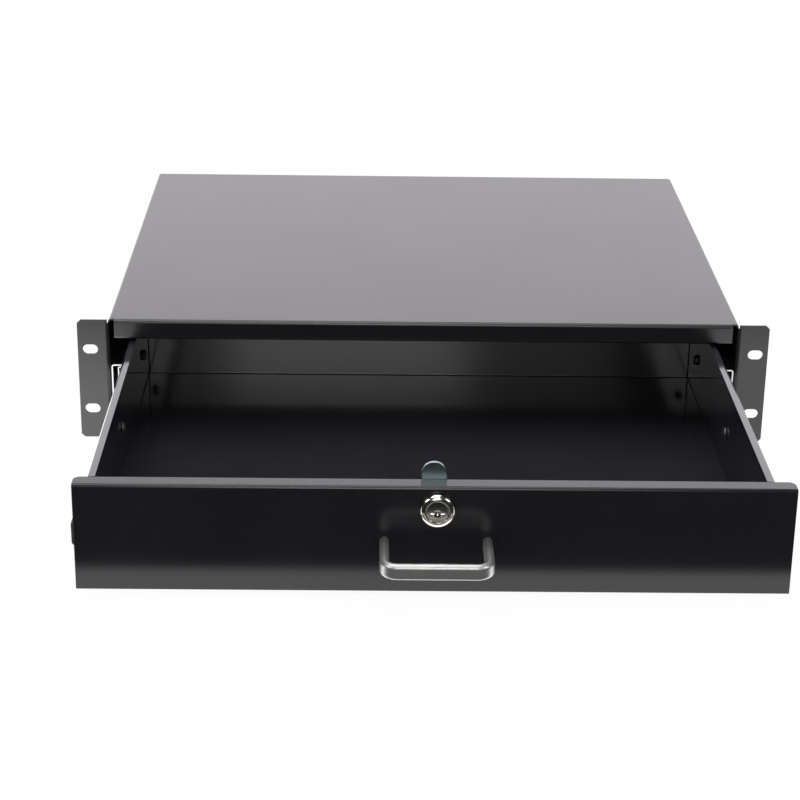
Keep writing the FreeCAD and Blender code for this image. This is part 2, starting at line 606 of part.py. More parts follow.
def make_buffer(name, side):
    """Rubber block in the outer member's back end, which stops the closing drawer."""
    body = new_body(f"closing_buffer_{name}")
    pad(body, "XZ", f"{SLIDE_END} - buffer_length", "buffer_length", [section(side, [
        ("slide_steel", "-buffer_height / 2"), ("buffer_reach", "-buffer_height / 2"),
        ("buffer_reach", "buffer_height / 2"), ("slide_steel", "buffer_height / 2"),
    ])])


# Drawer: an open tray of folded sheet, bolted by its front tabs to the front panel.
STUD_X = f"({TRAY_HALF} - tab_width / 2 - plate)"
STUDS_Z = [f"{TRAY_UNDER} + stud_inset", f"{TRAY_UNDER} + stud_inset + stud_pitch"]


def make_tray():
    body = new_body("drawer_tray")
    knee = f"({TRAY_UNDER} + {TRAY_BEND})"
    shoulder = f"({PANEL_TOP} - {TRAY_BEND})"
    heel = f"({TRAY_HALF} - {TRAY_BEND})"
    rim = f"({TRAY_HALF} - tray_flange)"
    wall = f"({TRAY_HALF} - plate)"
    front = f"({PANEL_BACK} + {TRAY_BEND} + corner_relief)"
    back = f"({REAR_WALL} - {TRAY_BEND} - corner_relief)"
    pad(body, "XZ", front, f"{back} - {front}", [[
        (f"-{TRAY_HALF}", knee, TRAY_BEND), (f"-{heel}", TRAY_UNDER), (heel, TRAY_UNDER, TRAY_BEND),
        (TRAY_HALF, knee), (TRAY_HALF, shoulder, TRAY_BEND), (heel, PANEL_TOP), (rim, PANEL_TOP),
        (rim, f"{PANEL_TOP} - plate"), (heel, f"{PANEL_TOP} - plate", "-tray_fold"), (wall, shoulder),
        (wall, knee, "-tray_fold"), (heel, f"{TRAY_UNDER} + plate"),
        (f"-{heel}", f"{TRAY_UNDER} + plate", "-tray_fold"), (f"-{wall}", knee),
        (f"-{wall}", shoulder, "-tray_fold"), (f"-{heel}", f"{PANEL_TOP} - plate"),
        (f"-{rim}", f"{PANEL_TOP} - plate"), (f"-{rim}", PANEL_TOP), (f"-{heel}", PANEL_TOP, TRAY_BEND),
        (f"-{TRAY_HALF}", shoulder),
    ]])
    # Rear wall folded up from the floor, with tabs of the sides behind it.
    wall_half = f"({wall} - seam)"
    pad(body, "YZ", f"-{wall_half}", f"2 * {wall_half}", [[
        (back, TRAY_UNDER), (f"{REAR_WALL} - tray_fold", TRAY_UNDER, TRAY_BEND), (f"{REAR_WALL} + plate", knee),
        (f"{REAR_WALL} + plate", PANEL_TOP), (REAR_WALL, PANEL_TOP), (REAR_WALL, knee, "-tray_fold"),
        (f"{REAR_WALL} - tray_fold", f"{TRAY_UNDER} + plate"), (back, f"{TRAY_UNDER} + plate"),
    ]])
    tail = f"({REAR_WALL} + 2 * plate)"
    rear_tab = [
        (wall, back), (TRAY_HALF, back), (TRAY_HALF, f"{tail} - {TRAY_BEND}", TRAY_BEND), (heel, tail),
        (f"{TRAY_HALF} - tab_width", tail), (f"{TRAY_HALF} - tab_width", f"{tail} - plate"),
        (heel, f"{tail} - plate", "-tray_fold"), (wall, f"{tail} - {TRAY_BEND}"),
    ]
    tab_foot = f"({knee} + corner_relief)"
    pad(body, "XY", tab_foot, f"{shoulder} - {tab_foot}", [rear_tab, mirrored(rear_tab)])
    # Front tabs of sides and floor lie against the panel's back.
    front_tab = [
        (f"{TRAY_HALF} - tab_width", PANEL_BACK), (heel, PANEL_BACK, TRAY_BEND),
        (TRAY_HALF, f"{PANEL_BACK} + {TRAY_BEND}"), (TRAY_HALF, front), (wall, front),
        (wall, f"{PANEL_BACK} + {TRAY_BEND}", "-tray_fold"), (heel, f"{PANEL_BACK} + plate"),
        (f"{TRAY_HALF} - tab_width", f"{PANEL_BACK} + plate"),
    ]
    tab_top = f"({PANEL_TOP} - front_tab_drop)"
    pad(body, "XY", tab_foot, f"{tab_top} - {tab_foot}", [front_tab, mirrored(front_tab)])
    sill_half = f"({heel} - tab_width)"
    pad(body, "YZ", f"-{sill_half}", f"2 * {sill_half}", [[
        (f"{PANEL_BACK} + {TRAY_BEND}", TRAY_UNDER), (front, TRAY_UNDER), (front, f"{TRAY_UNDER} + plate"),
        (f"{PANEL_BACK} + {TRAY_BEND}", f"{TRAY_UNDER} + plate", "-tray_fold"), (f"{PANEL_BACK} + plate", knee),
        (f"{PANEL_BACK} + plate", f"{TRAY_UNDER} + tab_width"), (PANEL_BACK, f"{TRAY_UNDER} + tab_width"),
        (PANEL_BACK, knee, TRAY_BEND),
    ]])
    # The side flanges stop where the panel's return begins.
    below = rectangle(f"{front} - plate", f"{shoulder} - seam", f"{FACE} + panel_flange + seam", f"{PANEL_TOP} + plate")
    cut(body, "YZ", f"-{TRAY_HALF} - plate", f"2 * ({TRAY_HALF} + plate)", [below])
    cut(body, "YZ", f"-{TRAY_HALF} - plate", f"2 * ({TRAY_HALF} + plate)",
        [facets(HOLE, y, SLIDE_Z) for y in TRAY_SCREWS])
    cut(body, "XZ", PANEL_BACK, "2 * plate",
        [facets(HOLE, f"{side} * {STUD_X}", z) for side in (-1, 1) for z in STUDS_Z])


LOCK_X = "(panel_shift + lock_shift)"
LOCK_Z = "(rack_height / 2 - lock_drop)"
HANDLE_X = "(panel_shift + handle_shift)"
HANDLE_Z = f"({UNDER} + handle_rise)"
LEG = "((handle_width - bar_depth) / 2)"
HANDLE_HOLE = "(handle_screw / 2 + hole_play)"
BARREL = "(barrel_diameter / 2)"
BEZEL = f"({BARREL} + bezel_lap)"


def barrel_outline(radius, flat, x="0", z="0"):
    """A circle with two upright flats."""
    rise = f"sqrt(({radius})^2 - ({flat})^2)"
    return [
        (f"{x} + {flat}", f"{z} - {rise}"), (f"{x} + {flat}", f"{z} + {rise}", radius),
        (f"{x} - {flat}", f"{z} + {rise}"), (f"{x} - {flat}", f"{z} - {rise}", radius),
    ]


def make_panel():
    body = new_body("front_panel")
    bend = "(panel_fold + plate)"
    foot = f"({UNDER} + panel_lift)"
    width = f"(2 * ({INNER} - panel_side_gap))"
    pad(body, "YZ", f"panel_shift - {width} / 2", width, [[
        (FACE, foot), (PANEL_BACK, foot), (PANEL_BACK, f"{PANEL_TOP} - {bend}", "-panel_fold"),
        (f"{FACE} + {bend}", f"{PANEL_TOP} - plate"), (f"{FACE} + panel_flange", f"{PANEL_TOP} - plate"),
        (f"{FACE} + panel_flange", PANEL_TOP), (f"{FACE} + {bend}", PANEL_TOP, bend),
        (FACE, f"{PANEL_TOP} - {bend}"),
    ]])
    holes = [facets(HANDLE_HOLE, f"{HANDLE_X} + {side} * {LEG}", HANDLE_Z) for side in (-1, 1)]
    cut(body, "XZ", f"{FACE} - plate", "3 * plate", holes + [
        barrel_outline(f"({BARREL} + hole_play)", f"({BARREL} - barrel_flat + hole_play)", LOCK_X, LOCK_Z)])
    end = number(f"{FACE} + panel_flange") - 0.01
    soften(body, "Fillet", "panel_corner", lambda spot, along: abs(along.z) > 0.5 and spot.y > end)


def make_studs_and_nuts():
    spots = [(f"{side} * {STUD_X}", PANEL_BACK, z) for side in (-1, 1) for z in STUDS_Z]
    stud = new_body("stud_pattern", is_node=False)
    pad(stud, "XZ", "0", "stud_length", [facets("screw_diameter / 2")])
    group("panel_studs", stud, spots)
    nut = new_body("nut_pattern", is_node=False)
    pad(nut, "XZ", "plate", "nut_height", [facets("nut_flats / 2", sides=6), facets(HOLE)])
    group("panel_nuts", nut, spots)


def make_handle():
    body = new_body("handle", HANDLE_X, FACE, HANDLE_Z)
    front = "(handle_stand - bar_depth / 2)"
    turn = "(handle_bend - bar_depth / 2)"
    path = new_sketch(body, "XY", "0", [[
        (f"-{LEG}", "0"), (f"-{LEG}", f"-{front} + {turn}", turn), (f"-{LEG} + {turn}", f"-{front}"),
        (f"{LEG} - {turn}", f"-{front}", turn), (LEG, f"-{front} + {turn}"), (LEG, "0"),
    ]], closed=False)
    deep, tall = "(bar_depth / 2)", "(bar_height / 2)"
    bevel = "(bar_depth * 0.29)"
    profile = new_sketch(body, "XZ", "0", [[
        (f"-{LEG} - {deep}", f"-{tall} + {bevel}"), (f"-{LEG} - {deep} + {bevel}", f"-{tall}"),
        (f"-{LEG} + {deep} - {bevel}", f"-{tall}"), (f"-{LEG} + {deep}", f"-{tall} + {bevel}"),
        (f"-{LEG} + {deep}", f"{tall} - {bevel}"), (f"-{LEG} + {deep} - {bevel}", tall),
        (f"-{LEG} - {deep} + {bevel}", tall), (f"-{LEG} - {deep}", f"{tall} - {bevel}"),
    ]])
    pipe = body.newObject("PartDesign::AdditivePipe", "handle_pipe")
    pipe.Profile = profile
    pipe.Spine = (path, [f"Edge{index}" for index in range(1, path.GeometryCount + 1)])
    doc.recompute()
    cut(body, "XZ", "-handle_screw_length", "handle_screw_length",
        [facets(HANDLE_HOLE, f"{side} * {LEG}") for side in (-1, 1)])


def make_handle_screws():
    screw = make_fastener_pattern("handle_screw_pattern", "handle_screw", "handle_screw_head",
                                  "handle_head_height", "handle_screw_length")
    group("handle_screws", screw, [(f"{HANDLE_X} + {side} * {LEG}", PANEL_BACK, HANDLE_Z, 180) for side in (-1, 1)])


# Cam lock: barrel through the panel with its nut, and a plug that turns the cam tongue.
BORE = "(plug_diameter / 2 + plug_play)"
CAM_FRONT = "(panel_flange + cam_gap)"


def make_lock():
    housing = new_body("lock_housing", LOCK_X, FACE, LOCK_Z)
    revolve(housing, [
        ("-bezel_rise", BORE), ("panel_flange", BORE), ("panel_flange", BARREL), ("0", BARREL), ("0", BEZEL),
        ("-bezel_rim", BEZEL), ("-bezel_rise", f"{BEZEL} - bezel_slope"),
    ])
    flat = rectangle(f"{BARREL} - barrel_flat", "-barrel_diameter", "barrel_diameter", "barrel_diameter")
    cut(housing, "XZ", "0", "panel_flange + seam", [flat, mirrored(flat)])
    nut = new_body("lock_nut", LOCK_X, FACE, LOCK_Z)
    pad(nut, "XZ", "plate", "lock_nut_height", [facets(f"{BARREL} + lock_nut_wall", sides=6)],
        [("0", "0", f"{BARREL} + hole_play")])

    plug = new_body("lock_plug", LOCK_X, FACE, LOCK_Z)
    stub_end = f"{CAM_FRONT} + cam_steel + cam_nut_height + hole_play"
    revolve(plug, [
        ("-bezel_rise + plug_sink", "0"), (stub_end, "0"), (stub_end, "stub_diameter / 2"),
        ("panel_flange", "stub_diameter / 2"), ("panel_flange", "plug_diameter / 2"),
        ("-bezel_rise + plug_sink", "plug_diameter / 2"),
    ])
    corners = [(-1, -1), (1, -1), (1, 1), (-1, 1)]

    def square(half):
        return [(f"({half}) * ({a} * cos(cam_lean) - {b} * sin(cam_lean))",
                 f"({half}) * ({a} * sin(cam_lean) + {b} * cos(cam_lean))") for a, b in corners]

    pad(plug, "XZ", "panel_flange", "cam_gap + cam_steel", [square("spindle / 2")])
    cut(plug, "XZ", "-bezel_rise", "plug_sink + key_dish_depth", circles=[("0", "0", "key_dish / 2")])
    cut(plug, "XZ", "-bezel_rise", "key_depth",
        [rectangle("-key_length / 2", "-key_width / 2", "key_length / 2", "key_width / 2")])

    cam = new_body("lock_cam", LOCK_X, FACE, LOCK_Z)
    cam.Placement = FreeCAD.Placement(cam.Placement.Base, FreeCAD.Rotation(FreeCAD.Vector(0, 1, 0), -1))
    bind(cam, "Placement.Rotation.Angle", "-cam_lean")
    half = "cam_width / 2"
    reach = f"cam_reach - {half}"
    pad(cam, "XZ", CAM_FRONT, "cam_steel", [
        [(f"-{half}", "0", "half"), (half, "0"), (half, reach, "half"), (f"-{half}", reach)],
        rectangle(*[f"{sign}(spindle / 2 + hole_play)" for sign in ("-", "-", "", "")]),
    ])
    cam_nut = new_body("cam_nut", LOCK_X, FACE, LOCK_Z)
    pad(cam_nut, "XZ", f"{CAM_FRONT} + cam_steel", "cam_nut_height",
        [facets("stub_diameter / 2 + cam_nut_wall", sides=6), facets("stub_diameter / 2 + hole_play")])


make_case_shell()
make_bottom_pan()
make_rear_panel()
make_rivets()
make_slide_screws()
for name, side in SIDES.items():
    make_outer_member(name, side)
    make_inner_member(name, side)
    make_cage(name, side)
    make_bumper(name, side)
    make_buffer(name, side)
make_balls()
make_tray()
make_panel()
make_studs_and_nuts()
make_handle()
make_handle_screws()
make_lock()
doc.recompute()

for item in doc.Objects:
    if "Invalid" in item.State or "Error" in item.State:
        raise RuntimeError(f"{item.Label} failed: {item.State}")
for node in nodes:
    if node.Shape.isNull() or not node.Shape.isValid():
        raise RuntimeError(f"{node.Label} has no valid shape")
os.makedirs("parts", exist_ok=True)
for node in nodes:
    node.Shape.exportStep(f"parts/{node.Label}.step")
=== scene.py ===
import math

import bmesh
import bpy
from mathutils import Matrix, Vector


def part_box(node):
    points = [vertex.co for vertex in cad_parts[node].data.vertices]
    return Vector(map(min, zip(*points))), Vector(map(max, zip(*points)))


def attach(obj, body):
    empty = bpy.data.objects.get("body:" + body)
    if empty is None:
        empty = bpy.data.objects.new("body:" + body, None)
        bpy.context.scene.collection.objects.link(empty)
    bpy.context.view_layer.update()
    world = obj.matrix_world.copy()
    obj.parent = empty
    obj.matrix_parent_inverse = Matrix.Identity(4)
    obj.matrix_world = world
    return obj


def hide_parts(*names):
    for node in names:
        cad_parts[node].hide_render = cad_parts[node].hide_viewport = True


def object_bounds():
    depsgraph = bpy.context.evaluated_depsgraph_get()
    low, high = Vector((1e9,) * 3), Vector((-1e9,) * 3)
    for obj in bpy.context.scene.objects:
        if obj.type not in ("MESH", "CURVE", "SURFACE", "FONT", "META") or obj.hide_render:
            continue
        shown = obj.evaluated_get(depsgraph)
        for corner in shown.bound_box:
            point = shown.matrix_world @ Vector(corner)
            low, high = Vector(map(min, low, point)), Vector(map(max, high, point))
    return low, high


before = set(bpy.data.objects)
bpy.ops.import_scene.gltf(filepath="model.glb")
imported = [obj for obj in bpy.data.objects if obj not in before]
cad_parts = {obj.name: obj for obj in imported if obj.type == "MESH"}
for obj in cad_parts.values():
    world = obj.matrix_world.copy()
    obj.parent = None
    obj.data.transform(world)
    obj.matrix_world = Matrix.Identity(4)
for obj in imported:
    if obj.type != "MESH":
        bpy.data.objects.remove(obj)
cad_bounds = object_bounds()


# Case: three folded sheets of 1.2 mm steel, riveted together and sprayed with a fine black powder
# coat. The coat rounds every cut edge a little and has the slight orange peel of baked powder.
class Tone:
    """A shader socket that adds, subtracts and multiplies as a number does."""

    def __init__(self, tree, socket=None):
        self.tree = tree
        self.socket = socket

    def node(self, kind, settings=None, sockets=None, output=0):
        """Adds a node, its settings first and then the values or links of its sockets."""
        made = self.tree.nodes.new(kind)
        for name, value in (settings or {}).items():
            if name == "stops":
                ramp = made.color_ramp.elements
                while len(ramp) < len(value):
                    ramp.new(0.5)
                for stop, (place, colour) in zip(ramp, value):
                    stop.position = place
                    stop.color = colour
            else:
                setattr(made, name, value)
        for name, value in (sockets or {}).items():
            if isinstance(value, Tone):
                self.tree.links.new(value.socket, made.inputs[name])
            else:
                made.inputs[name].default_value = value
        return Tone(self.tree, made.outputs[output])

    def other_output(self, name):
        """Another output of the same node."""
        return Tone(self.tree, self.socket.node.outputs[name])

    def maths(self, operation, first, second):
        return self.node("ShaderNodeMath", {"operation": operation}, {0: first, 1: second})

    def __add__(self, other):
        return self.maths("ADD", self, other)

    __radd__ = __add__

    def __mul__(self, other):
        return self.maths("MULTIPLY", self, other)

    __rmul__ = __mul__

    def __sub__(self, other):
        return self.maths("SUBTRACT", self, other)

    def __rsub__(self, other):
        return self.maths("SUBTRACT", other, self)

    def clamped(self, low, high):
        return self.maths("MINIMUM", self.maths("MAXIMUM", self, low), high)

    def noise(self, place, scale, detail=2.0, roughness=0.5):
        """Cloudy noise between 0 and 1, with a scale in waves to the metre."""
        return self.node("ShaderNodeTexNoise", {"normalize": True},
                         {"Vector": place, "Scale": scale, "Detail": detail, "Roughness": roughness})

    def blend(self, share, first, second):
        """A colour between two others."""
        return self.node("ShaderNodeMix", {"data_type": "RGBA"}, {0: share, 6: first, 7: second}, 2)

    def bump(self, height, depth, strength=1.0):
        return self.node("ShaderNodeBump", None, {"Height": height, "Distance": depth, "Strength": strength})


def start_finish(name):
    """A material with nothing in it, and the place on the piece that its patterns read."""
    material = bpy.data.materials.new(name)
    material.use_nodes = True
    material.node_tree.nodes.clear()
    tone = Tone(material.node_tree)
    return material, tone, tone.node("ShaderNodeTexCoord", output="Object")


def end_finish(material, tone, sockets):
    """Gives a material its surface, with these values and links in its sockets."""
    surface = tone.node("ShaderNodeBsdfPrincipled", None, sockets)
    output = tone.tree.nodes.new("ShaderNodeOutputMaterial")
    tone.tree.links.new(surface.socket, output.inputs["Surface"])
    return material


def shaded(colour, share):
    """A colour made darker or lighter."""
    return tuple(value * share for value in colour[:3]) + (1,)


def make_powder_coat(name, roughness, refraction=1.55, painted_light_factor=1.0, relief=0.3):
    """Black powder coat with faint patches, fine pale specks and orange peel."""
    material, tone, place = start_finish(name)
    peel = tone.noise(place, scale=700.0, detail=3.0, roughness=0.6)
    patches = tone.noise(place, scale=14.0, detail=3.0, roughness=0.55)
    grains = tone.noise(place, scale=2400.0, detail=1.0)
    specks = tone.node("ShaderNodeValToRGB", {"stops": [(0.60, (0, 0, 0, 1)), (0.74, (1, 1, 1, 1))]},
                       {"Fac": grains})
    # A factor above one lightens the black as painted light; only the tray's coat uses one.
    black = tone.blend(patches, shaded((0.0095, 0.009, 0.0115), painted_light_factor), shaded((0.015, 0.014, 0.0175), painted_light_factor))
    return end_finish(material, tone, {
        "Base Color": tone.blend(specks * 0.35, black, (0.040, 0.038, 0.042, 1)),
        "Roughness": roughness + patches * 0.04 - peel * 0.02,
        "IOR": refraction,
        "Normal": tone.bump(peel, depth=0.00004, strength=relief),
    })


weld_gap = 0.000003
flat_within = math.radians(1)
sharp_beyond = math.radians(40)


def solid_mesh(node):
    """A copy of a CAD node's mesh with its loose triangles joined."""
    mesh = bmesh.new()
    mesh.from_mesh(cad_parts[node].data)
    bmesh.ops.remove_doubles(mesh, verts=mesh.verts, dist=weld_gap)
    return mesh


def shown(name, mesh, material, body):
    """Makes a piece of a bmesh, smooth over its bends, and lets it ride on a body."""
    data = bpy.data.meshes.new(name)
    mesh.to_mesh(data)
    mesh.free()
    if "custom_normal" in data.attributes:
        data.attributes.remove(data.attributes["custom_normal"])
    data.shade_smooth()
    data.materials.clear()
    data.materials.append(material)
    piece = bpy.data.objects.new(name, data)
    bpy.context.scene.collection.objects.link(piece)
    piece.modifiers.new("even_shading", "WEIGHTED_NORMAL")
    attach(piece, body)
    return piece


def eased(node, material, body, ease, steps=2, rework=None):
    """Stands for a solid with a copy, reworked if asked, whose sharp edges are rounded a little."""
    mesh = solid_mesh(node)
    if rework:
        mesh = rework(mesh)
    bmesh.ops.dissolve_limit(mesh, angle_limit=flat_within, verts=mesh.verts, edges=mesh.edges)
    sharp = [edge for edge in mesh.edges
             if len(edge.link_faces) == 2 and edge.calc_face_angle() > sharp_beyond]
    bmesh.ops.bevel(mesh, geom=sharp, offset=ease, offset_type="OFFSET", segments=steps, profile=0.5,
                    affect="EDGES", clamp_overlap=True, material=-1)
    piece = shown(node + "_finished", mesh, material, body)
    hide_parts(node)
    return piece


case_coat = make_powder_coat("black_powder_coat", roughness=0.28, refraction=1.62, relief=0.12)
for node in ("case_shell", "bottom_pan", "rear_panel"):
    eased(node, case_coat, "case", ease=0.00022)


# Rivets: blind rivets with low domes outside, which hold the case's sheets together through its
# sides. They are set before the case is sprayed, so they carry the same coat.
def solids_of(node):
    """The centre and the size of each separate solid of a CAD node."""
    mesh = solid_mesh(node)
    left = set(mesh.verts)
    found = []
    while left:
        group, newest = set(), [left.pop()]
        while newest:
            vertex = newest.pop()
            group.add(vertex)
            near = {edge.other_vert(vertex) for edge in vertex.link_edges} & left
            left -= near
            newest += near
        low = Vector([min(vertex.co[axis] for vertex in group) for axis in range(3)])
        high = Vector([max(vertex.co[axis] for vertex in group) for axis in range(3)])
        found.append(((low + high) / 2, high - low))
    mesh.free()
    return sorted(found, key=lambda solid: tuple(solid[0]))


def turn_profile(mesh, profile, steps):
    """Turns (radius, height) points about Z into a closed solid."""
    ring = [mesh.verts.new((radius, 0, height)) for radius, height in profile]
    edges = [mesh.edges.new(pair) for pair in zip(ring, ring[1:])]
    bmesh.ops.spin(mesh, geom=ring + edges, cent=(0, 0, 0), axis=(0, 0, 1), angle=math.tau, steps=steps,
                   use_merge=True)
    bmesh.ops.remove_doubles(mesh, verts=mesh.verts, dist=weld_gap)
    bmesh.ops.recalc_face_normals(mesh, faces=mesh.faces)


def place_copies(template, places):
    """One mesh with a copy of a turned template at each place. A place is (point, direction of its head)."""
    whole = bmesh.new()
    for point, facing in places:
        copy = bpy.data.meshes.new("copy")
        template.to_mesh(copy)
        copy.transform(Matrix.Translation(point) @ facing.to_track_quat("Z", "Y").to_matrix().to_4x4())
        whole.from_mesh(copy)
        bpy.data.meshes.remove(copy)
    template.free()
    return whole


def places_on_sides(node, seat, outward):
    """Places of a node's fasteners at a distance from the middle. Heads face out with 1 and in with -1."""
    places = []
    for centre, _ in solids_of(node):
        side = math.copysign(1, centre.x)
        places.append((Vector((side * seat, centre.y, centre.z)), Vector((side * outward, 0, 0))))
    return places


sheet = 0.0012
side_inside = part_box("rear_panel")[1].x
rivet_radius = solids_of("case_rivets")[0][1].z / 2
rivet_height = 0.001
rivet_shank = 0.0016
rivet_length = 0.0035
rivet = bmesh.new()
turn_profile(rivet, [
    (0, -rivet_length), (rivet_shank, -rivet_length), (rivet_shank, 0), (rivet_radius, 0),
    (rivet_radius * 0.97, rivet_height * 0.22), (rivet_radius * 0.82, rivet_height * 0.6),
    (rivet_radius * 0.5, rivet_height * 0.9), (0, rivet_height),
], steps=28)
rivets = place_copies(rivet, places_on_sides("case_rivets", side_inside + sheet, 1))
piece = shown("case_rivets_turned", rivets, make_powder_coat("coated_rivet", roughness=0.3), "case")
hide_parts("case_rivets")


# Screws of the slides: pan heads with a cross recess, driven outwards from inside each channel and
# from inside the tray. They are steel with a zinc plate that has gone dull and dark.
def make_zinc(name, colour, other, roughness, grain=260.0):
    """Plated steel that clouds between two colours."""
    material, tone, place = start_finish(name)
    cloud = tone.noise(place, scale=grain, detail=3.0, roughness=0.6)
    fine = tone.noise(place, scale=grain * 6)
    return end_finish(material, tone, {
        "Base Color": tone.blend(cloud, colour, other),
        "Metallic": 1.0,
        "Roughness": roughness + cloud * 0.14 - fine * 0.06,
        "Normal": tone.bump(fine, depth=0.00001, strength=0.3),
    })


def combined(mesh, tool, operation):
    """A mesh with a tool mesh joined to it or taken out of it."""
    items = []
    for name, shape in (("solid", mesh), ("tool", tool)):
        data = bpy.data.meshes.new(name)
        shape.to_mesh(data)
        shape.free()
        items.append(bpy.data.objects.new(name, data))
        bpy.context.scene.collection.objects.link(items[-1])
    step = items[0].modifiers.new("step", "BOOLEAN")
    step.operation = operation
    step.object = items[1]
    step.solver = "EXACT"
    step.use_self = True
    result = items[0].evaluated_get(bpy.context.evaluated_depsgraph_get())
    made = bmesh.new()
    made.from_mesh(bpy.data.meshes.new_from_object(result))
    for item in items:
        bpy.data.objects.remove(item)
    return made


def pan_head(radius, height, shank, length):
    """A pan-head screw along Z, its seat at height 0, with a cross recess."""
    mesh = bmesh.new()
    turn_profile(mesh, [
        (0, -length), (shank, -length), (shank, 0), (radius, 0), (radius, height * 0.35),
        (radius * 0.93, height * 0.68), (radius * 0.76, height * 0.9), (radius * 0.45, height), (0, height),
    ], steps=28)
    recess = bmesh.new()
    for angle in (0, math.pi / 2):
        wing = bmesh.ops.create_cone(recess, cap_ends=True, segments=4, radius1=radius * 0.02,
                                     radius2=radius * 0.72, depth=height * 0.9)["verts"]
        bmesh.ops.rotate(recess, verts=wing, cent=(0, 0, 0), matrix=Matrix.Rotation(math.pi / 4, 3, "Z"))
        bmesh.ops.scale(recess, verts=wing, vec=(1, 0.34, 1))
        bmesh.ops.rotate(recess, verts=wing, cent=(0, 0, 0), matrix=Matrix.Rotation(angle, 3, "Z"))
        bmesh.ops.translate(recess, verts=wing, vec=(0, 0, height * 0.62))
    return combined(mesh, recess, "DIFFERENCE")


channel_steel = 0.0011
dull_zinc = make_zinc("dull_zinc", (0.10, 0.10, 0.105, 1), (0.16, 0.16, 0.165, 1), roughness=0.42)
for node, body, seat in (("case_slide_screws", "case", side_inside - channel_steel),
                         ("tray_slide_screws", "drawer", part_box("drawer_tray")[1].x - sheet)):
    screw = pan_head(radius=0.004, height=0.0024, shank=0.002, length=0.004)
    screws = place_copies(screw, places_on_sides(node, seat, -1))
    piece = shown(node + "_turned", screws, dull_zinc, body)
    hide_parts(node)


# Ball slides: two rolled channels a side, with a bent cage of hard steel balls between them. The
# channels are rolled from bright zinc-plated strip and carry fine lines along the rolling.
def make_rolled_zinc():
    material, tone, place = start_finish("rolled_zinc")
    drawn_out = tone.node("ShaderNodeMapping", None, {"Vector": place, "Scale": (1, 0.02, 1)})
    lines = tone.noise(drawn_out, scale=2600.0)
    cloud = tone.noise(place, scale=90.0, detail=3.0)
    return end_finish(material, tone, {
        "Base Color": tone.blend(cloud, (0.58, 0.59, 0.60, 1), (0.66, 0.67, 0.68, 1)),
        "Metallic": 1.0,
        "Roughness": 0.22 + lines * 0.12 + cloud * 0.06,
        "Normal": tone.bump(lines, depth=0.000012, strength=0.4),
    })


rolled_zinc = make_rolled_zinc()
for side in ("left", "right"):
    eased(f"slide_outer_{side}", rolled_zinc, "case", ease=0.00015)
    eased(f"slide_inner_{side}", rolled_zinc, "drawer", ease=0.00015)
    eased(f"ball_cage_{side}", rolled_zinc, f"cage_{side}", ease=0.00008)


# Balls: ground and polished bearing steel, four to a row and two rows to a cage. Each is loose in
# its window of the cage and rolls between the races of the two channels.
def make_polished(name, colour, roughness):
    """Metal polished until only a faint haze is left."""
    material, tone, place = start_finish(name)
    haze = tone.noise(place, scale=420.0, detail=3.0)
    return end_finish(material, tone, {
        "Base Color": tone.blend(haze, colour, shaded(colour, 0.93)),
        "Metallic": 1.0,
        "Roughness": roughness + haze * 0.05,
        "Normal": tone.bump(haze, depth=0.000004, strength=0.2),
    })


ball_radius = 0.00195
polished_steel = make_polished("polished_bearing_steel", (0.74, 0.74, 0.75, 1), roughness=0.06)
for side in ("left", "right"):
    balls = bmesh.new()
    for centre, _ in solids_of(f"slide_balls_{side}"):
        bmesh.ops.create_uvsphere(balls, u_segments=24, v_segments=14, radius=ball_radius,
                                  matrix=Matrix.Translation(centre))
    piece = shown(f"slide_balls_{side}_ground", balls, polished_steel, f"cage_{side}")
    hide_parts(f"slide_balls_{side}")


# Stops of the slides: a moulded black plastic bumper on the front end of each inner channel, and a
# block of black rubber in the back end of each outer one. Both have the dull skin of the mould.
def make_moulded(name, colour, roughness, grain):
    """Plastic or rubber with the fine grain of its mould."""
    material, tone, place = start_finish(name)
    spark = tone.noise(place, scale=grain)
    return end_finish(material, tone, {
        "Base Color": tone.blend(spark, colour, shaded(colour, 1.5)),
        "Roughness": roughness + spark * 0.12,
        "Normal": tone.bump(spark, depth=0.00004, strength=0.4),
    })


black_plastic = make_moulded("moulded_plastic", (0.016, 0.016, 0.017, 1), roughness=0.46, grain=1500.0)
black_rubber = make_moulded("moulded_rubber", (0.012, 0.012, 0.012, 1), roughness=0.72, grain=900.0)
for side in ("left", "right"):
    eased(f"slide_bumper_{side}", black_plastic, "drawer", ease=0.0004, steps=3)
    eased(f"closing_buffer_{side}", black_rubber, "case", ease=0.0004, steps=3)


# Drawer tray: one folded sheet with a rear wall folded up from its floor, in the same powder coat
# as the case, its colour lightened 2.1 times as painted light inside the drawer. Its coat lies
# smoother, so the floor mirrors the rear wall.
tray_coat_with_painted_light = make_powder_coat("tray_powder_coat_painted_light", roughness=0.09, refraction=1.62, painted_light_factor=2.1, relief=0.1)
eased("drawer_tray", tray_coat_with_painted_light, "drawer", ease=0.00022)


# Front panel: a flat sheet with its top edge folded back, in a coat a little smoother than the
# case's. It is held by four welded studs with bright zinc-plated nuts behind the tray's tabs.
panel_coat = make_powder_coat("panel_powder_coat", roughness=0.18, refraction=1.45)
eased("front_panel", panel_coat, "drawer", ease=0.00025, steps=3)
bright_zinc = make_zinc("bright_zinc", (0.60, 0.61, 0.62, 1), (0.50, 0.51, 0.53, 1), roughness=0.26)
for node in ("panel_studs", "panel_nuts"):
    eased(node, bright_zinc, "drawer", ease=0.0002)


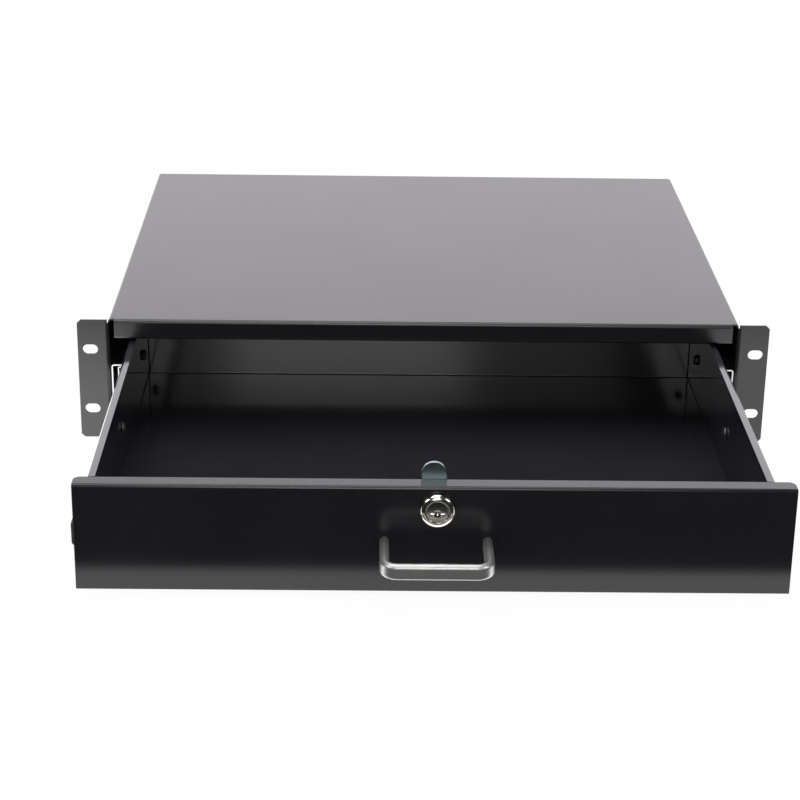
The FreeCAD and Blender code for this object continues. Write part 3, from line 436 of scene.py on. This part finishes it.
# Handle: a bow of flat-oval bar, bent at two corners and satin chromed, with fine lines along its
# front. Two small pan-head screws hold it from behind the panel.
def make_satin():
    material, tone, place = start_finish("satin_chrome")
    drawn_out = tone.node("ShaderNodeMapping", None, {"Vector": place, "Scale": (0.04, 1, 1)})
    lines = tone.noise(drawn_out, scale=3000.0)
    cloud = tone.noise(place, scale=60.0, detail=3.0)
    return end_finish(material, tone, {
        "Base Color": tone.blend(cloud, (0.54, 0.535, 0.525, 1), (0.62, 0.615, 0.605, 1)),
        "Metallic": 0.87,
        "Roughness": 0.35 + lines * 0.08 + cloud * 0.04,
        "Normal": tone.bump(lines, depth=0.00001, strength=0.25),
    })


def push(mesh, end, run):
    """Extrudes the bar's open end along a straight run and returns the new end."""
    made = bmesh.ops.extrude_edge_only(mesh, edges=end)["geom"]
    bmesh.ops.translate(mesh, verts=[item for item in made if isinstance(item, bmesh.types.BMVert)], vec=run)
    return [item for item in made if isinstance(item, bmesh.types.BMEdge)]


def turn(mesh, end, centre):
    """Bends the bar's open end a quarter turn about an upright line and returns the new end."""
    verts = list({vertex for edge in end for vertex in edge.verts})
    made = bmesh.ops.spin(mesh, geom=verts + end, cent=centre, axis=(0, 0, 1), angle=math.pi / 2, steps=12,
                          use_duplicate=False)["geom_last"]
    return [item for item in made if isinstance(item, bmesh.types.BMEdge)]


low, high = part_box("handle")
bar_depth = 0.0056
bar_sides = 36
outer_bend = 0.0105
bend = outer_bend - bar_depth / 2
left_leg = low.x + bar_depth / 2
right_leg = high.x - bar_depth / 2
front = low.y + bar_depth / 2
flat_half = (high.z - low.z - bar_depth) / 2
mesh = bmesh.new()
section = bmesh.ops.create_circle(mesh, segments=bar_sides, radius=bar_depth / 2)["verts"]
bmesh.ops.rotate(mesh, verts=section, cent=(0, 0, 0), matrix=Matrix.Rotation(math.pi / bar_sides, 3, "Z"))
bmesh.ops.rotate(mesh, verts=section, cent=(0, 0, 0), matrix=Matrix.Rotation(math.pi / 2, 3, "X"))
for vertex in section:
    vertex.co.z += math.copysign(flat_half, vertex.co.z)
bmesh.ops.translate(mesh, verts=section, vec=(left_leg, high.y, ((low + high) / 2).z))
end = push(mesh, list(mesh.edges), (0, front + bend - high.y, 0))
end = turn(mesh, end, (left_leg + bend, front + bend, 0))
end = push(mesh, end, (right_leg - left_leg - 2 * bend, 0, 0))
end = turn(mesh, end, (right_leg - bend, front + bend, 0))
push(mesh, end, (0, high.y - front - bend, 0))
bmesh.ops.holes_fill(mesh, edges=[edge for edge in mesh.edges if len(edge.link_faces) == 1], sides=0)
bmesh.ops.recalc_face_normals(mesh, faces=mesh.faces)
handle = shown("handle_bow", mesh, make_satin(), "drawer")
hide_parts("handle")

panel_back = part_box("front_panel")[0].y + sheet
places = [(Vector((centre.x, panel_back, centre.z)), Vector((0, 1, 0)))
          for centre, _ in solids_of("handle_screws")]
screws = place_copies(pan_head(radius=0.003, height=0.0018, shank=0.0015, length=0.0085), places)
piece = shown("handle_screws_turned", screws, bright_zinc, "drawer")
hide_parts("handle_screws")


# Cam lock: a turned housing with a domed bezel, polished and chromed, whose plug takes a flat key.
# Behind the panel a pressed cam of passivated zinc plate sits on the plug's square end.
def face_forward(mesh, place):
    """Turns a mesh that was made up along Z to look forward from the panel, and moves it to its place."""
    bmesh.ops.rotate(mesh, verts=mesh.verts, cent=(0, 0, 0), matrix=Matrix.Rotation(math.pi / 2, 3, "X"))
    bmesh.ops.translate(mesh, verts=mesh.verts, vec=place)


low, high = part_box("lock_housing")
panel_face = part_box("front_panel")[0].y
lock_axis = Vector(((low.x + high.x) / 2, panel_face, (low.z + high.z) / 2))
rim = (high.x - low.x) / 2
rise = panel_face - low.y
tail = panel_face - high.y
bore = 0.00685
barrel = 0.0082
lip = 0.0002
dome_width = 0.0022
dome_drop = 0.0025
outline = [(bore, tail), (bore, rise - lip), (bore + lip, rise)]
outline += [(rim - dome_width - lip, rise), (rim - dome_width, rise - lip / 5)]
for step in range(1, 9):
    angle = step * math.pi / 16
    outline.append((rim - dome_width * (1 - math.sin(angle)), rise - lip - dome_drop * (1 - math.cos(angle))))
outline += [(rim, 0), (barrel, 0), (barrel, tail), (bore, tail)]
mesh = bmesh.new()
turn_profile(mesh, outline, steps=64)
face_forward(mesh, lock_axis)
chrome = make_polished("polished_chrome", (0.78, 0.76, 0.70, 1), roughness=0.11)
housing = shown("lock_housing_turned", mesh, chrome, "drawer")
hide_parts("lock_housing")

dish_radius = 0.0052
dish_depth = 0.0066
bowl_radius = 0.0028
bowl_foot = 0.0001
bowl_depth = 0.00168
bowl_below = 0.0011
groove_length = 0.0084
groove_width = 0.0014
groove_depth = 0.0009
slot_length = 0.0056
slot_width = 0.0012
slot_depth = 0.0049
slot_below = 0.0006
proud = 0.0001


def cut_keyway(mesh):
    """The plug, its dish filled, with a shallow bowl and a groove round its key slot."""
    filling = bmesh.new()
    bmesh.ops.create_cone(filling, cap_ends=True, segments=48, radius1=dish_radius, radius2=dish_radius,
                          depth=dish_depth)
    bmesh.ops.translate(filling, verts=filling.verts, vec=(0, 0, -dish_depth / 2))
    hollow = bmesh.new()
    bmesh.ops.create_cone(hollow, cap_ends=True, segments=48, radius1=bowl_foot, radius2=bowl_radius,
                          depth=bowl_depth + proud)
    bmesh.ops.translate(hollow, verts=hollow.verts, vec=(0, -bowl_below, (proud - bowl_depth) / 2))
    groove = bmesh.ops.create_cube(hollow, size=1.0)["verts"]
    bmesh.ops.rotate(hollow, verts=groove, cent=(0, 0, 0), matrix=Matrix.Rotation(math.pi / 4, 3, "X"))
    bmesh.ops.scale(hollow, verts=groove, vec=(groove_length, groove_width, groove_depth))
    bmesh.ops.translate(hollow, verts=groove, vec=(0, -bowl_below, 0))
    slot = bmesh.ops.create_cube(hollow, size=1.0)["verts"]
    bmesh.ops.scale(hollow, verts=slot, vec=(slot_length, slot_width, slot_depth + proud))
    bmesh.ops.translate(hollow, verts=slot, vec=(0, -slot_below, (proud - slot_depth) / 2))
    plug_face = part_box("lock_plug")[0].y
    for tool in (filling, hollow):
        face_forward(tool, (lock_axis.x, plug_face, lock_axis.z))
    return combined(combined(mesh, filling, "UNION"), hollow, "DIFFERENCE")


plug_chrome = make_polished("plug_chrome", (0.52, 0.51, 0.45, 1), roughness=0.15)
eased("lock_plug", plug_chrome, "lock", ease=0.00015, rework=cut_keyway)
passivated = make_zinc("passivated_zinc", (0.30, 0.40, 0.42, 1), (0.48, 0.60, 0.62, 1), roughness=0.28,
                       grain=420.0)
for node, body in (("lock_nut", "drawer"), ("lock_cam", "lock"), ("cam_nut", "lock")):
    eased(node, passivated, body, ease=0.0004, steps=3)


# Studio: a white floor that mirrors see lit only from the handle back, a bright wall far behind the
# case, smaller lamps in front and at the sides, and a soft lamp above. The air round it is white.
def kinds_of_ray(tone):
    """Whether a ray comes from the camera, and whether from a mirroring surface."""
    from_camera = tone.node("ShaderNodeLightPath", output="Is Camera Ray")
    return from_camera, from_camera.other_output("Is Glossy Ray")


floor_reach = 6.0
floor_gap = 0.0003
lit_from = cad_bounds[0].y + 0.0006
lit_fade = 110.0
tilt_from = -0.2
tilt_fade = 12.0
mesh = bmesh.new()
bmesh.ops.create_grid(mesh, x_segments=1, y_segments=1, size=floor_reach,
                      matrix=Matrix.Translation((0, 0, cad_bounds[0].z - floor_gap)))
data = bpy.data.meshes.new("floor")
mesh.to_mesh(data)
mesh.free()
floor = bpy.data.objects.new("floor", data)
bpy.context.scene.collection.objects.link(floor)
material, tone, place = start_finish("white_floor")
across = tone.node("ShaderNodeSeparateXYZ", None, {"Vector": place}, "X")
back = across.other_output("Y")
lit = ((back - lit_from) * lit_fade).clamped(0.0, 1.0)
dimmer_right = ((back - tilt_from) * tilt_fade).clamped(0.0, 1.0) * across
from_camera, from_mirror = kinds_of_ray(tone)
glow = from_camera * 1.03 + from_mirror * (lit * (2.0 - dimmer_right * 2.1) + 0.02)
paper = tone.node("ShaderNodeBsdfDiffuse", None, {"Color": (0.86, 0.86, 0.86, 1)})
light = tone.node("ShaderNodeEmission", None, {"Color": (1, 1, 1, 1), "Strength": glow})
surface = tone.node("ShaderNodeMixShader", None, {0: from_camera * 0.92 + from_mirror, 1: paper, 2: light})
tone.tree.links.new(surface.socket, tone.tree.nodes.new("ShaderNodeOutputMaterial").inputs["Surface"])
data.materials.append(material)

world = bpy.data.worlds.new("studio")
world.use_nodes = True
world.node_tree.nodes.clear()
tone = Tone(world.node_tree)
from_camera, from_mirror = kinds_of_ray(tone)
air_light = 0.55
seen_in_mirrors = 0.03
strength = air_light + from_camera * (1.0 - air_light) - from_mirror * (air_light - seen_in_mirrors)
air = tone.node("ShaderNodeBackground", None, {"Color": (1, 1, 1, 1), "Strength": strength})
tone.tree.links.new(air.socket, tone.tree.nodes.new("ShaderNodeOutputWorld").inputs["Surface"])
bpy.context.scene.world = world


def lamp(name, width, height, place, aim, radiance, diffuse=False, roll=0.0, colour=(1.0, 1.0, 1.0)):
    """A soft lamp of an even brightness that the camera doesn't see. Without diffuse only mirrors see it."""
    light = bpy.data.lights.new(name, "AREA")
    light.shape = "RECTANGLE"
    light.size = width
    light.size_y = height
    light.energy = radiance * math.pi * width * height
    light.color = colour
    holder = bpy.data.objects.new(name, light)
    facing = (Vector(aim) - Vector(place)).to_track_quat("-Z", "Y").to_matrix().to_4x4()
    holder.matrix_world = Matrix.Translation(place) @ facing @ Matrix.Rotation(math.radians(roll), 4, "Z")
    holder.visible_camera = False
    holder.visible_diffuse = diffuse
    bpy.context.scene.collection.objects.link(holder)


wall_colour = (1.0, 0.965, 1.01)
wall_roll = -3.5
lamp("back_wall_low", 7.0, 0.87, (0, 2.6, 0.465), (0, 0, 0.465), 1.68, roll=wall_roll, colour=wall_colour)
lamp("back_wall_high", 7.0, 0.63, (0, 2.6, 1.215), (0, 0, 1.215), 2.1, roll=wall_roll, colour=wall_colour)
lamp("front_low", 1.1, 0.61, (-0.05, -2.6, 0.78), (0, 0, 0.78), 1.4)
lamp("front_middle", 0.5, 0.585, (-0.085, -2.55, 0.765), (0, 0, 0.765), 4.5)
lamp("front_high", 0.9, 0.7, (0.0, -2.4, 1.75), (0, 0, 0), 6.0)
lamp("side_left", 1.2, 1.0, (-2.3, -1.5, 1.6), (0, 0, 0), 6.0)
lamp("side_right", 1.2, 1.0, (2.3, -1.5, 1.6), (0, 0, 0), 6.0)
lamp("soft_box", 2.6, 1.6, (-0.3, 0.1, 2.3), (0, 0, 0), 2.8, diffuse=True)

camera_place = (-0.03830, -1.36393, 0.53978)
camera_heading = math.radians(-0.936)
camera_tilt = math.radians(67.904)
camera_roll = math.radians(0.849)
camera = bpy.data.cameras.new("camera")
camera.lens = 93.88
camera.sensor_width = 36.0
eye = bpy.data.objects.new("camera", camera)
eye.matrix_world = (Matrix.Translation(camera_place) @ Matrix.Rotation(camera_heading, 4, "Z")
                    @ Matrix.Rotation(camera_tilt, 4, "X") @ Matrix.Rotation(camera_roll, 4, "Z"))
bpy.context.scene.collection.objects.link(eye)
bpy.context.scene.camera = eye
bpy.context.scene.view_settings.view_transform = "Standard"
